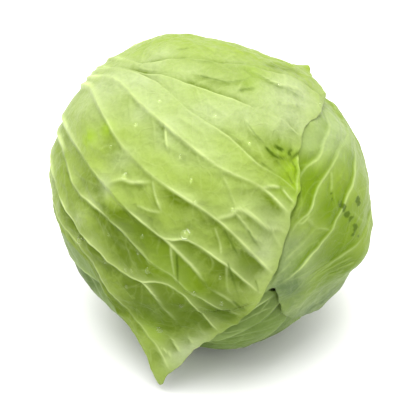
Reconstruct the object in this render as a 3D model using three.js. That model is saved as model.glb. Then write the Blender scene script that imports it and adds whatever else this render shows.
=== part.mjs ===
// A head of green cabbage lying on its side: a packed inner head, a cut stalk and five wrapper
// leaves laid over one another. Millimetres, +Z up, the floor at z = 0 under the middle of the head.
import * as THREE from "three";

// Packed inner head: an egg about the stem axis, which runs from the crown back to the stalk.
const INNER_LENGTH = 168;
const INNER_WIDTH = 154;
const HEAD_LIFT = 82.5;
const STEM_HEADING = 123.4;
const STEM_RISE = 1.5;
const FRONT_TURN = 37.3;

// Spots where the head bulges or dents: from the stalk, round the axis, height, width in degrees.
const UNEVEN_SPOTS = [
  [50, -6, 6, 36], [74, 75, -6, 30], [140, 150, -4, 35], [84, -78, 4, 22],
  [46, -26, 2.5, 13], [77, -56, 2.5, 12], [46, 24, 0.8, 14], [76, 30, 1.5, 12],
  [112, 96, -2.5, 14], [148, 138, 4, 11], [160, 178, -7, 14], [104, -86, 3.5, 9],
  [93, -68, -2, 8], [150, -172, -2, 16], [151, 156, 2.5, 16],
];

// Leaf edges and ribs that show on the packed head, and the facets it is built with.
const INNER_FOLDS = 3;
const INNER_FOLD_STEP = 1.1;
const INNER_FOLD_SLANT = 0.7;
const INNER_RIB = 0.5;
const INNER_RIB_EVERY = 4;
const INNER_BANDS = 20;
const INNER_SECTORS = 36;

// Wrapper leaves: blade, ribs, and the step from one leaf to the leaf that lies on it.
const BLADE = 0.9;
const LAYER_STEP = 3.8;
const COVER_MARGIN = 3;
const COVER_RAMP = 22;
const LEAF_BASE = 2;
const LEAF_BASE_END = 0.2;
const RIB = 1.6;
const RIB_AT_EDGE = 0.5;
const RIB_FOOT = 0.16;
const RIB_START = 0.1;
const RIB_FULL = 0.5;
const BLADE_SAG = 0.9;
const SAG_LEAN = 1.2;
const EDGE_WAVE = 0.8;
const EDGE_WAVE_TURN = 2.6;
const EDGE_WAVE_RISE = 6;
const LEAF_ROWS = 15;
const RIGHT_FLOOR = 2;
const FRONT_FLOOR = 1.5;

// Regular fan of veins, for a leaf that is mostly covered by others.
const FAN_SIDES = [1, 0.62, 0.3, 0, -0.3, -0.62, -1];
const FAN_STEPS = [0, 0.25, 0.5, 0.75, 1];
const FAN_START = 12;
const FAN_BASE_SPREAD = 24;
const FAN_FLARE = 18;
const FAN_SHORTER = 0.2;

// Cut stalk.
const STALK_RADIUS = 15;
const STALK_PROUD = 6;
const STALK_GAP = 1;

// Main veins of each leaf, edge to edge. A point is degrees from the stalk along the head, then
// degrees round the stem axis. The first and last rows of a leaf are its side edges.
const FRONT_VEINS = [
  [[12, 34], [30, 44], [48, 56], [68, 70], [85, 90]],
  [[12, 29], [40, 31], [60, 42], [80, 57], [97, 84]],
  [[12, 24], [40, 16], [67, 18], [76, 24], [88, 36], [97, 49], [104, 64], [112, 79]],
  [[12, 16], [49, 9], [72, 15], [81, 19], [94, 24], [107, 30], [117, 38], [124, 47], [131, 54]],
  [[12, 9], [45, 6], [80, 16], [104, 17], [122, 22], [134, 25], [143, 34], [150, 43]],
  [[12, 3], [45, 2], [70, 8], [87, 7], [110, 8], [128, 11], [142, 21], [156, 32]],
  [[12, -6], [43, -3], [60, -1], [82, -6], [97, -9], [113, -10], [139, -8], [154, -12], [168, -30]],
  [[12, -15], [44, -20], [70, -21], [89, -23], [104, -25], [126, -29], [135, -25], [150, -29], [165, -64]],
  [[12, -20], [40, -27], [67, -29], [81, -34], [105, -34], [120, -39], [133, -46], [147, -60], [156, -84]],
  [[12, -26], [40, -38], [63, -41], [77, -43], [97, -49], [118, -55], [127, -52], [138, -56], [144, -94]],
  [[12, -33], [50, -49], [80, -51], [98, -58], [109, -71], [120, -88], [122, -101]],
  [[12, -40], [45, -55], [70, -54], [88, -57], [99, -66], [107, -80], [115, -93], [116, -104]],
];
const RIGHT_VEINS = [
  [[12, 126], [35, 152], [70, 168], [105, 172], [130, 180], [148, 200]],
  [[12, 116], [45, 140], [85, 148], [120, 150], [145, 160], [159, 190], [160, 226]],
  [[12, 108], [60, 124], [100, 126], [130, 124], [152, 128], [170, 150], [171, 235], [166, 254]],
  [[12, 99], [60, 105], [100, 103], [120, 96], [134, 92], [155, 90], [166, 86], [174, 62], [176, -20],
    [168, -60]],
  [[12, 90], [60, 90], [100, 92], [120, 88], [133, 79], [140, 73], [149, 59], [157, 51], [160, 34],
    [166, -5], [158, -66]],
  [[12, 82], [45, 74], [85, 76], [118, 78], [130, 70], [138, 63], [142, 51], [153, 30], [161, -18],
    [151, -56]],
  [[12, 72], [40, 55], [80, 44], [115, 36], [138, 22], [150, -6], [145, -46]],
];
const UNDER_VEINS = [
  [[12, -92], [35, -66], [70, -46], [100, -42], [130, -46], [164, -56]],
  [[12, -99], [45, -80], [80, -70], [112, -72], [140, -82], [171, -92]],
  [[12, -108], [50, -98], [90, -92], [124, -98], [148, -104], [172, -132]],
  [[12, -116], [50, -120], [90, -120], [124, -122], [146, -130], [168, -160]],
  [[12, -125], [50, -143], [90, -148], [124, -152], [146, -164], [160, -184]],
  [[12, -133], [45, -160], [80, -172], [110, -178], [134, -188], [150, -204]],
  [[12, -142], [35, -174], [65, -190], [95, -198], [120, -206], [138, -216]],
];
const TOP_MIDRIB = 52;
const TOP_SPREAD = 66;
const TOP_REACH = 150;
const BACK_MIDRIB = 180;
const BACK_SPREAD = 70;
const BACK_REACH = 158;

// Spots where the front leaf stands off the head: from the stalk, round the axis, height, width.
const FRONT_TIP = [116, -104, 23, 11];
const FRONT_CORNER = [85, 90, 7, 6];
const FRONT_SHOULDER = [101, 82, 4, 12];

const rad = THREE.MathUtils.degToRad;
const smooth = THREE.MathUtils.smoothstep;
const stemAxis = new THREE.Vector3(
  Math.cos(rad(STEM_RISE)) * Math.cos(rad(STEM_HEADING)),
  Math.cos(rad(STEM_RISE)) * Math.sin(rad(STEM_HEADING)),
  Math.sin(rad(STEM_RISE)),
);
const upAcross = new THREE.Vector3(0, 0, 1).addScaledVector(stemAxis, -stemAxis.z).normalize();
const sideAcross = new THREE.Vector3().crossVectors(stemAxis, upAcross);

// Unit direction from the middle of the head, from degrees off the stalk and degrees round the axis.
function headDirection(fromStalk, round) {
  const turn = rad(round - FRONT_TURN);
  return stemAxis.clone().multiplyScalar(Math.cos(rad(fromStalk)))
    .addScaledVector(upAcross, Math.sin(rad(fromStalk)) * Math.cos(turn))
    .addScaledVector(sideAcross, Math.sin(rad(fromStalk)) * Math.sin(turn));
}

// Radius of the packed inner head in a direction.
function innerRadius(direction) {
  const along = direction.dot(stemAxis);
  const length = INNER_LENGTH / 2;
  const width = INNER_WIDTH / 2;
  const egg = 1 / Math.sqrt((along / length) ** 2 + (1 - along * along) / width ** 2);
  return UNEVEN_SPOTS.reduce((radius, spot) => radius + standOff(direction, spot), egg);
}

// Radius cut down to the plane where a layer is pressed flat above the floor.
function pressed(direction, radius, floor) {
  if (direction.z >= 0) return radius;
  return Math.min(radius, (HEAD_LIFT - floor) / -direction.z);
}

// Point at a radius in a direction, the head lifted so that it rests on the floor.
function headPoint(direction, radius) {
  return direction.clone().multiplyScalar(radius).add(new THREE.Vector3(0, 0, HEAD_LIFT));
}

// Veins spread about a midrib, the outer ones shorter, flaring towards the edge.
function veinFan(midrib, spread, reach) {
  return FAN_SIDES.map((side) => {
    const end = reach * (1 - FAN_SHORTER * side * side);
    return FAN_STEPS.map((along) => {
      const opened = FAN_BASE_SPREAD + (spread - FAN_BASE_SPREAD) * Math.sin(rad(90 * along));
      return [
        FAN_START + (end - FAN_START) * along,
        midrib + side * (opened + FAN_FLARE * along ** 4),
      ];
    });
  });
}

// Unit directions over a leaf: rows from base to edge, columns across from vein to vein.
function leafDirections(veins, rows, columns) {
  const curves = veins.map((vein) => new THREE.CatmullRomCurve3(
    vein.map(([fromStalk, round]) => headDirection(fromStalk, round)), false, "catmullrom"));
  return Array.from({ length: rows + 1 }, (_, row) => {
    const across = new THREE.CatmullRomCurve3(
      curves.map((curve) => curve.getPointAt(row / rows)), false, "catmullrom");
    return columns.map((column) => across.getPoint(column / (veins.length - 1)).normalize());
  });
}

// Share by which a leaf lies under a direction: 1 inside its outline, falling to 0 outside it.
function coverOf(directions) {
  const outline = [
    ...directions.map((row) => row[0]),
    ...directions.at(-1),
    ...directions.map((row) => row.at(-1)).reverse(),
    ...directions[0].toReversed(),
  ];
  const centre = new THREE.Vector3();
  directions.flat().forEach((direction) => centre.add(direction));
  centre.normalize();
  const first = new THREE.Vector3().crossVectors(centre, stemAxis).normalize();
  const second = new THREE.Vector3().crossVectors(centre, first);
  const bearing = (direction) => Math.atan2(direction.dot(second), direction.dot(first));
  const table = outline.map((direction) => [bearing(direction), direction.angleTo(centre)])
    .sort((a, b) => a[0] - b[0]);
  return (direction) => {
    const turn = bearing(direction);
    let next = table.findIndex(([angle]) => angle > turn);
    if (next < 0) next = 0;
    const [highTurn, highAngle] = table[next];
    const [lowTurn, lowAngle] = table.at(next - 1);
    const span = (highTurn - lowTurn + 2 * Math.PI) % (2 * Math.PI) || 1;
    const share = ((turn - lowTurn + 2 * Math.PI) % (2 * Math.PI)) / span;
    const edge = lowAngle + (highAngle - lowAngle) * share;
    const beyond = THREE.MathUtils.radToDeg(direction.angleTo(centre) - edge) - COVER_MARGIN;
    return 1 - smooth(beyond, 0, COVER_RAMP);
  };
}

// Height by which a leaf stands off at a raised spot.
function standOff(direction, [fromStalk, round, height, width]) {
  const apart = THREE.MathUtils.radToDeg(direction.angleTo(headDirection(fromStalk, round)));
  return height * Math.exp(-((apart / width) ** 2));
}

// Mesh from a grid of outer points and a grid of inner points, closed round its four sides.
function sheetMesh(outer, inner) {
  const rows = outer.length;
  const columns = outer[0].length;
  const positions = [...outer.flat(), ...inner.flat()].flatMap((point) => point.toArray());
  const index = [];
  const at = (row, column) => row * columns + column;
  const below = rows * columns;
  for (let row = 0; row + 1 < rows; row += 1) {
    for (let column = 0; column + 1 < columns; column += 1) {
      const [a, b] = [at(row, column), at(row, column + 1)];
      const [c, d] = [at(row + 1, column + 1), at(row + 1, column)];
      index.push(a, b, c, a, c, d);
      index.push(below + a, below + c, below + b, below + a, below + d, below + c);
    }
  }
  const rim = [];
  for (let column = 0; column < columns; column += 1) rim.push(at(0, column));
  for (let row = 1; row < rows; row += 1) rim.push(at(row, columns - 1));
  for (let column = columns - 2; column >= 0; column -= 1) rim.push(at(rows - 1, column));
  for (let row = rows - 2; row > 0; row -= 1) rim.push(at(row, 0));
  rim.forEach((a, place) => {
    const b = rim[(place + 1) % rim.length];
    index.push(a, below + a, below + b, a, below + b, b);
  });
  const geometry = new THREE.BufferGeometry();
  geometry.setAttribute("position", new THREE.Float32BufferAttribute(positions, 3));
  geometry.setIndex(index);
  return geometry;
}

// A wrapper leaf: ribs raised along its veins, blade sagging between them, edge waved.
function leafGeometry(veins, covers, floor, raised) {
  const columns = [];
  for (let vein = 0; vein + 1 < veins.length; vein += 1) {
    columns.push(vein, vein + RIB_FOOT, vein + 0.5, vein + 1 - RIB_FOOT);
  }
  columns.push(veins.length - 1);
  const directions = leafDirections(veins, LEAF_ROWS, columns);
  const outer = directions.map(() => []);
  const inner = directions.map(() => []);
  directions.forEach((row, place) => {
    const along = place / LEAF_ROWS;
    const grown = smooth(along, RIB_START, RIB_FULL);
    const rib = grown * (RIB + (RIB_AT_EDGE - RIB) * along);
    const stout = LEAF_BASE * (1 - smooth(along, 0, LEAF_BASE_END));
    row.forEach((direction, column) => {
      const part = columns[column] % 1;
      const isEdge = column === 0 || column === columns.length - 1;
      const sag = part === 0 ? 0 : BLADE_SAG * (SAG_LEAN - part) * grown;
      const turn = 0.5 + 0.5 * Math.sin(EDGE_WAVE_TURN * columns[column]);
      const wave = EDGE_WAVE * along ** EDGE_WAVE_RISE * turn;
      let middle = innerRadius(direction) + LAYER_STEP - sag + wave;
      covers.forEach((cover) => { middle += LAYER_STEP * cover(direction); });
      raised.forEach((spot) => { middle += standOff(direction, spot); });
      const crest = part === 0 && !isEdge ? rib : 0;
      const outside = pressed(direction, middle + BLADE / 2 + stout + crest, floor);
      const inside = pressed(direction, middle - BLADE / 2, floor + BLADE);
      outer[place].push(headPoint(direction, outside));
      inner[place].push(headPoint(direction, inside));
    });
  });
  return { geometry: sheetMesh(outer, inner), cover: coverOf(directions) };
}

// The packed inner head, its own leaf edges showing as low steps that wind round the axis.
function innerHeadGeometry() {
  const bands = INNER_BANDS;
  const sectors = INNER_SECTORS;
  const positions = [];
  const index = [];
  const place = (fromStalk, round, lift) => {
    const direction = headDirection(fromStalk, round);
    const radius = pressed(direction, innerRadius(direction) + lift, 2 * LAYER_STEP + BLADE);
    positions.push(...headPoint(direction, radius).toArray());
  };
  place(0, 0, 0);
  for (let band = 1; band < bands; band += 1) {
    const fromStalk = (180 * band) / bands;
    for (let sector = 0; sector < sectors; sector += 1) {
      const round = (360 * sector) / sectors;
      const fold = ((INNER_FOLDS * (round + INNER_FOLD_SLANT * fromStalk)) / 360) % 1;
      const rib = sector % INNER_RIB_EVERY === 0 ? INNER_RIB : 0;
      place(fromStalk, round, (INNER_FOLD_STEP * fold + rib) * Math.sin(rad(fromStalk)));
    }
  }
  place(180, 0, 0);
  const at = (band, sector) => 1 + (band - 1) * sectors + (sector % sectors);
  const last = 1 + (bands - 1) * sectors;
  for (let sector = 0; sector < sectors; sector += 1) {
    index.push(0, at(1, sector), at(1, sector + 1));
    index.push(last, at(bands - 1, sector + 1), at(bands - 1, sector));
    for (let band = 1; band + 1 < bands; band += 1) {
      const [a, b] = [at(band, sector), at(band, sector + 1)];
      const [c, d] = [at(band + 1, sector + 1), at(band + 1, sector)];
      index.push(a, d, c, a, c, b);
    }
  }
  const geometry = new THREE.BufferGeometry();
  geometry.setAttribute("position", new THREE.Float32BufferAttribute(positions, 3));
  geometry.setIndex(index);
  return geometry;
}

// The cut stalk, turned about the stem axis, its cut face a little hollow.
function stalkGeometry() {
  const root = INNER_LENGTH / 2 + STALK_GAP;
  const end = root + STALK_PROUD + 2 * LAYER_STEP;
  const profile = [
    [0, root],
    [STALK_RADIUS, root],
    [STALK_RADIUS + 0.6, (root + end) / 2],
    [STALK_RADIUS - 0.8, end - 2],
    [STALK_RADIUS - 2.2, end],
    [STALK_RADIUS * 0.5, end - 1],
    [0, end - 1.4],
  ].map(([radius, height]) => new THREE.Vector2(radius, height));
  const geometry = new THREE.LatheGeometry(profile, 28);
  geometry.applyQuaternion(
    new THREE.Quaternion().setFromUnitVectors(new THREE.Vector3(0, 1, 0), stemAxis));
  geometry.translate(0, 0, HEAD_LIFT);
  return geometry;
}

const back = leafGeometry(veinFan(BACK_MIDRIB, BACK_SPREAD, BACK_REACH), [], LAYER_STEP, []);
const top = leafGeometry(veinFan(TOP_MIDRIB, TOP_SPREAD, TOP_REACH), [back.cover], LAYER_STEP, []);
const under = leafGeometry(UNDER_VEINS, [back.cover, top.cover], 0, []);
const right = leafGeometry(
  RIGHT_VEINS, [back.cover, top.cover, under.cover], RIGHT_FLOOR, []);
const front = leafGeometry(
  FRONT_VEINS, [back.cover, top.cover, under.cover, right.cover], FRONT_FLOOR,
  [FRONT_TIP, FRONT_CORNER, FRONT_SHOULDER]);

const head = new THREE.Group();
const add = (name, geometry, color, roughness) => {
  const material = new THREE.MeshStandardMaterial({ color, roughness, metalness: 0 });
  const mesh = new THREE.Mesh(geometry, material);
  mesh.name = name;
  head.add(mesh);
};
add("inner_head", innerHeadGeometry(), 0xc9d99a, 0.6);
add("stalk", stalkGeometry(), 0xd9dcc0, 0.7);
add("leaf_back", back.geometry, 0x9fb46e, 0.5);
add("leaf_top", top.geometry, 0xa7bf6c, 0.5);
add("leaf_under", under.geometry, 0x7f9a52, 0.5);
add("leaf_right", right.geometry, 0x9dbb63, 0.5);
add("leaf_front", front.geometry, 0xa9c865, 0.5);

export default head;
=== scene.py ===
from collections import namedtuple

import bpy
import numpy as np
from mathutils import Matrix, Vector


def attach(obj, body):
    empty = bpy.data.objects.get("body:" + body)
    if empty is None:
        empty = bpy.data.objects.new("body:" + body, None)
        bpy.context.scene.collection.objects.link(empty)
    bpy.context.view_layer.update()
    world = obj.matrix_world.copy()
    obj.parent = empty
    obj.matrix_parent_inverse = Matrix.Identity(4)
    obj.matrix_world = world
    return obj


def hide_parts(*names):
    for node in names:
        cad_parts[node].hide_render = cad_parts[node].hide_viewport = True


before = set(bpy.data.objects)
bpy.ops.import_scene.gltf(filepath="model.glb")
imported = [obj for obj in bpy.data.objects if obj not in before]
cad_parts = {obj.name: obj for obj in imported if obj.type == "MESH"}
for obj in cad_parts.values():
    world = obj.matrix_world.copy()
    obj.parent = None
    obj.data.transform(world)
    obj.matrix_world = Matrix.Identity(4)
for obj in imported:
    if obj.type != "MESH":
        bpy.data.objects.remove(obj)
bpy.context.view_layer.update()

# Packed inner head: young leaves grown tight round the stem into one firm egg, lying on its side.
# Its own leaf edges show as low steps that wind round the stem, and ribs run along it. It is only
# seen where the wrapper leaves part. Sizes are millimetres, which MM turns into metres.
MM = 0.001
INNER_LENGTH = 168
INNER_WIDTH = 154
HEAD_LIFT = 82.5
STEM_HEADING = np.radians(123.4)
STEM_RISE = np.radians(1.5)
FRONT_TURN = 37.3
UNEVEN_SPOTS = [
    (50, -6, 6, 36), (74, 75, -6, 30), (140, 150, -4, 35), (84, -78, 4, 22), (46, -26, 2.5, 13),
    (77, -56, 2.5, 12), (46, 24, 0.8, 14), (76, 30, 1.5, 12), (112, 96, -2.5, 14), (148, 138, 4, 11),
    (160, 178, -7, 14), (104, -86, 3.5, 9), (93, -68, -2, 8), (150, -172, -2, 16), (151, 156, 2.5, 16),
]
INNER_FOLDS = 3
INNER_FOLD_STEP = 1.1
INNER_FOLD_SLANT = 0.7
INNER_FOLD_END = 0.96
INNER_RIBS = 9
INNER_RIB = 0.5
INNER_RIB_WIDTH = 0.16
INNER_BANDS = 120
INNER_SECTORS = 216
BLADE = 0.9
LAYER_STEP = 3.8

STEM = np.array([
    np.cos(STEM_RISE) * np.cos(STEM_HEADING),
    np.cos(STEM_RISE) * np.sin(STEM_HEADING),
    np.sin(STEM_RISE),
])
UP_ACROSS = np.array([0, 0, 1]) - STEM * STEM[2]
UP_ACROSS /= np.linalg.norm(UP_ACROSS)
SIDE_ACROSS = np.cross(STEM, UP_ACROSS)


def smooth(value, start, end):
    """0 before start, 1 after end, and an even S between them."""
    share = np.clip((value - start) / (end - start), 0, 1)
    return share * share * (3 - 2 * share)


def head_direction(from_stalk, round_stem):
    """Unit direction from the middle of the head, so many degrees off the stalk and round the stem."""
    off = np.radians(np.asarray(from_stalk, float))[..., None]
    turn = np.radians(np.asarray(round_stem, float) - FRONT_TURN)[..., None]
    return STEM * np.cos(off) + np.sin(off) * (UP_ACROSS * np.cos(turn) + SIDE_ACROSS * np.sin(turn))


def bumps(directions, spots):
    """Sum of round bumps: height times exp(-(angle / width)^2), angles in degrees from each spot."""
    total = np.zeros(directions.shape[:-1])
    for from_stalk, round_stem, height, width in spots:
        cosine = np.clip(directions @ head_direction(from_stalk, round_stem), -1, 1)
        total += height * np.exp(-(np.degrees(np.arccos(cosine)) / width) ** 2)
    return total


def inner_radius(directions):
    """Radius of an egg of the inner head's length and width, with its uneven spots on it."""
    along = directions @ STEM
    egg = 1 / np.sqrt((2 * along / INNER_LENGTH) ** 2 + (1 - along**2) * (2 / INNER_WIDTH) ** 2)
    return egg + bumps(directions, UNEVEN_SPOTS)


def head_points(directions, radius, floor):
    """Points at a radius in each direction, pressed flat where they would go under the floor height."""
    down = np.minimum(directions[..., 2], -1e-6)
    held = np.where(directions[..., 2] < 0, np.minimum(radius, (floor - HEAD_LIFT) / down), radius)
    return directions * held[..., None] + np.array([0, 0, HEAD_LIFT])


def waves(points, length, count, seed):
    """Smooth unevenness from -1 to 1: the mean of sine waves of about one length, in drawn directions."""
    draw = np.random.default_rng(seed)
    heading = draw.normal(size=(count, 3))
    heading /= np.linalg.norm(heading, axis=1, keepdims=True)
    number = 2 * np.pi / (length * draw.uniform(0.7, 1.5, count))
    phase = draw.uniform(0, 2 * np.pi, count)
    return np.sin(points @ (heading * number[:, None]).T + phase).sum(-1) / np.sqrt(count)


def grid_faces(index):
    """Quads over a grid of vertex numbers, rows from base to tip and columns across, facing outwards."""
    corners = (index[:-1, :-1], index[:-1, 1:], index[1:, 1:], index[1:, :-1])
    return np.stack(corners, -1).reshape(-1, 4).tolist()


def ring_faces(rows, columns, turned):
    """Faces over closed rings of vertices, with a fan to each of the two end points numbered after them,
    turned over where the rings are counted the other way round."""
    index = np.arange(rows * columns).reshape(rows, columns)
    index = np.concatenate([index, index[:, :1]], axis=1)
    way = -1 if turned else 1
    faces = np.array(grid_faces(index))[:, ::way].tolist()
    for ring, end in ((index[0, ::way].tolist(), 0), (index[-1, ::-way].tolist(), 1)):
        faces += [[rows * columns + end, b, a] for a, b in zip(ring[:-1], ring[1:])]
    return faces


def add_piece(name, points, faces, masks, material, node):
    """One smooth mesh piece from points in millimetres, with its masks as attributes, on the root body."""
    mesh = bpy.data.meshes.new(name)
    mesh.from_pydata((points * MM).tolist(), [], faces)
    mesh.polygons.foreach_set("use_smooth", np.ones(len(mesh.polygons), bool))
    for mask, values in masks.items():
        layer = mesh.attributes.new(mask, "FLOAT", "POINT")
        layer.data.foreach_set("value", np.clip(values, 0, 1).astype(np.float32))
    mesh.materials.append(material)
    mesh.validate()
    piece = bpy.data.objects.new(name, mesh)
    bpy.context.scene.collection.objects.link(piece)
    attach(piece, "root")
    if node:
        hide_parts(node)


def add_node(tree, kind, settings=None, **inputs):
    """A shader node with its settings, its inputs given as values or linked from other sockets."""
    node = tree.nodes.new(kind)
    for setting, value in (settings or {}).items():
        setattr(node, setting, value)
    for key, value in inputs.items():
        socket = node.inputs[int(key[1:])] if key[1:].isdigit() else node.inputs[key.replace("_", " ")]
        if isinstance(value, bpy.types.NodeSocket):
            tree.links.new(value, socket)
        else:
            socket.default_value = value
    return node


def mix_colour(tree, share, first, second):
    """The first colour going over to the second by a share."""
    return add_node(tree, "ShaderNodeMix", {"data_type": "RGBA"}, i0=share, i6=first, i7=second).outputs[2]


def combine(tree, operation, first, second):
    """Two values put together by one sum, kept from 0 to 1."""
    settings = {"operation": operation, "use_clamp": True}
    return add_node(tree, "ShaderNodeMath", settings, i0=first, i1=second).outputs[0]


def weigh(tree, value, weight):
    """A value times a weight, kept from 0 to 1."""
    return combine(tree, "MULTIPLY", value, weight)


def srgb(red, green, blue):
    """A colour of 0 to 255 as seen, turned into the linear colour that a shader takes."""
    seen = np.array([red, green, blue]) / 255
    linear = np.where(seen <= 0.04045, seen / 12.92, ((seen + 0.055) / 1.055) ** 2.4)
    return (*linear, 1.0)


def leaf_skin_group():
    """Waxy leaf skin: blade colour going pale, deep and lime by masks, veins, a fine net, and a dark olive
    for chewed spots and torn edges that also serves as painted shade; the masks carry painted shade and
    painted highlights as well as the leaf's own colours.
    """
    group = bpy.data.node_groups.new("leaf_skin", "ShaderNodeTree")
    for colour in ("Blade", "Pale", "Deep", "Lime", "Vein", "Mark"):
        group.interface.new_socket(colour, in_out="INPUT", socket_type="NodeSocketColor")
    group.interface.new_socket("Mottle", in_out="INPUT", socket_type="NodeSocketFloat")
    group.interface.new_socket("Color", in_out="OUTPUT", socket_type="NodeSocketColor")
    group.interface.new_socket("Roughness", in_out="OUTPUT", socket_type="NodeSocketFloat")
    group.interface.new_socket("Height", in_out="OUTPUT", socket_type="NodeSocketFloat")
    given = group.nodes.new("NodeGroupInput")
    mottle = given.outputs["Mottle"]
    place = group.nodes.new("ShaderNodeTexCoord").outputs["Object"]
    mask = {}
    for name in ("pale", "deep", "lime", "vein", "mark"):
        mask[name] = add_node(group, "ShaderNodeAttribute", {"attribute_name": name}).outputs["Fac"]
    broad = add_node(group, "ShaderNodeTexNoise", Vector=place, Scale=38.0, Detail=3.0, Roughness=0.6)
    fine = add_node(group, "ShaderNodeTexNoise", Vector=place, Scale=420.0, Detail=4.0, Roughness=0.65)
    bent = add_node(group, "ShaderNodeVectorMath", {"operation": "MULTIPLY_ADD"},
                    i0=broad.outputs["Color"], i1=(0.02, 0.02, 0.02), i2=place).outputs[0]
    net = []
    for scale, thin in ((85.0, 0.07), (260.0, 0.16)):
        cells = add_node(group, "ShaderNodeTexVoronoi", {"feature": "DISTANCE_TO_EDGE"},
                         Vector=bent, Scale=scale)
        net.append(add_node(group, "ShaderNodeMapRange", Value=cells.outputs["Distance"],
                            From_Max=thin, To_Min=1.0, To_Max=0.0).outputs[0])
    patch = add_node(group, "ShaderNodeTexNoise", Vector=bent, Scale=85.0, Detail=4.0, Roughness=0.6)
    patchy = add_node(group, "ShaderNodeMapRange", Value=patch.outputs["Fac"],
                      From_Min=0.36, From_Max=0.64, To_Min=-1.7, To_Max=1.7).outputs[0]
    patchy = add_node(group, "ShaderNodeMath", {"operation": "MULTIPLY_ADD"},
                      i0=patchy, i1=mottle, i2=1.0).outputs[0]
    drift = add_node(group, "ShaderNodeMapRange", Value=broad.outputs["Fac"],
                     From_Min=0.35, From_Max=0.68, To_Min=0.0, To_Max=1.0).outputs[0]
    speck = add_node(group, "ShaderNodeMapRange", Value=fine.outputs["Fac"],
                     From_Min=0.4, From_Max=0.75, To_Min=0.0, To_Max=1.0).outputs[0]
    pale = combine(group, "ADD", mask["pale"], weigh(group, drift, mottle))
    deep = combine(group, "ADD", weigh(group, mask["deep"], patchy), weigh(group, speck, mottle))
    netted = combine(group, "ADD", weigh(group, net[0], 0.07), weigh(group, net[1], 0.03))
    vein = combine(group, "MAXIMUM", mask["vein"], netted)
    colour = mix_colour(group, pale, given.outputs["Blade"], given.outputs["Pale"])
    colour = mix_colour(group, deep, colour, given.outputs["Deep"])
    colour = mix_colour(group, mask["lime"], colour, given.outputs["Lime"])
    colour = mix_colour(group, vein, colour, given.outputs["Vein"])
    colour = mix_colour(group, mask["mark"], colour, given.outputs["Mark"])
    gloss = add_node(group, "ShaderNodeMapRange", Value=fine.outputs["Fac"], To_Min=0.34, To_Max=0.52)
    height = combine(group, "ADD", weigh(group, netted, 2.5), weigh(group, speck, 0.25))
    height = combine(group, "ADD", height, weigh(group, patch.outputs["Fac"], 0.4))
    taken = group.nodes.new("NodeGroupOutput")
    group.links.new(colour, taken.inputs["Color"])
    group.links.new(gloss.outputs[0], taken.inputs["Roughness"])
    group.links.new(height, taken.inputs["Height"])
    return group


LEAF_SKIN = leaf_skin_group()
# Dark olive of chewed spots and torn edges, also painted as shade in creases, low down and under an overlying
# leaf edge.
MARK_AND_SHADE_COLOUR = srgb(62, 84, 0)


def leaf_material(name, blade, pale, deep, lime, vein, mottle):
    """Leaf skin of these colours on a soft waxy surface that lets a little light through."""
    material = bpy.data.materials.new(name)
    material.use_nodes = True
    tree = material.node_tree
    shader = tree.nodes["Principled BSDF"]
    skin = add_node(tree, "ShaderNodeGroup", {"node_tree": LEAF_SKIN}, Blade=srgb(*blade), Pale=srgb(*pale),
                    Deep=srgb(*deep), Lime=srgb(*lime), Vein=srgb(*vein), Mark=MARK_AND_SHADE_COLOUR, Mottle=mottle)
    bump = add_node(tree, "ShaderNodeBump", Strength=0.7, Distance=0.0008, Height=skin.outputs["Height"])
    tree.links.new(skin.outputs["Color"], shader.inputs["Base Color"])
    tree.links.new(skin.outputs["Roughness"], shader.inputs["Roughness"])
    tree.links.new(bump.outputs["Normal"], shader.inputs["Normal"])
    shader.inputs["Subsurface Weight"].default_value = 0.05
    shader.inputs["Subsurface Radius"].default_value = (0.6, 1.0, 0.2)
    shader.inputs["Subsurface Scale"].default_value = 0.003
    shader.inputs["Specular IOR Level"].default_value = 0.07
    return material


def inner_head_mesh(bands, sectors):
    """An egg on rings round the stem, lifted by fold steps and ribs, with a point at each end."""
    from_stalk, round_stem = np.meshgrid(
        np.linspace(0, 180, bands + 1)[1:-1], np.arange(sectors) * 360 / sectors, indexing="ij")
    fold = (INNER_FOLDS * (round_stem + INNER_FOLD_SLANT * from_stalk) / 360) % 1
    step = INNER_FOLD_STEP * fold * (1 - smooth(fold, INNER_FOLD_END, 1))
    rib = np.exp(-((np.sin(np.radians(INNER_RIBS * round_stem / 2)) / INNER_RIB_WIDTH) ** 2))
    lift = (step + INNER_RIB * rib) * np.sin(np.radians(from_stalk))
    directions = head_direction(from_stalk, round_stem)
    floor = 2 * LAYER_STEP + BLADE
    rings = head_points(directions, inner_radius(directions) + lift, floor).reshape(-1, 3)
    ends = head_direction([0, 180], [0, 0])
    points = np.concatenate([rings, head_points(ends, inner_radius(ends), floor)])
    zero = np.zeros(len(points))
    masks = {
        "vein": np.append(rib.ravel() * 0.7, [0, 0]),
        "pale": np.append(0.4 + 0.4 * fold.ravel(), [0.5, 0.5]),
        # Painted shade: darker at the foot of each fold step, next to the edge above it.
        "deep": np.append(1 - smooth(fold.ravel(), 0, 0.2), [0, 0]) * 0.5,
        "lime": zero,
        "mark": zero,
    }
    return points, ring_faces(bands - 1, sectors, True), masks


inner_material = leaf_material(
    "inner_leaf_skin", (168, 184, 116), (192, 200, 150), (128, 152, 72), (162, 178, 74), (200, 206, 170),
    0.25)
points, faces, masks = inner_head_mesh(INNER_BANDS, INNER_SECTORS)
add_piece("packed_inner_head", points, faces, masks, inner_material, "inner_head")

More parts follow.
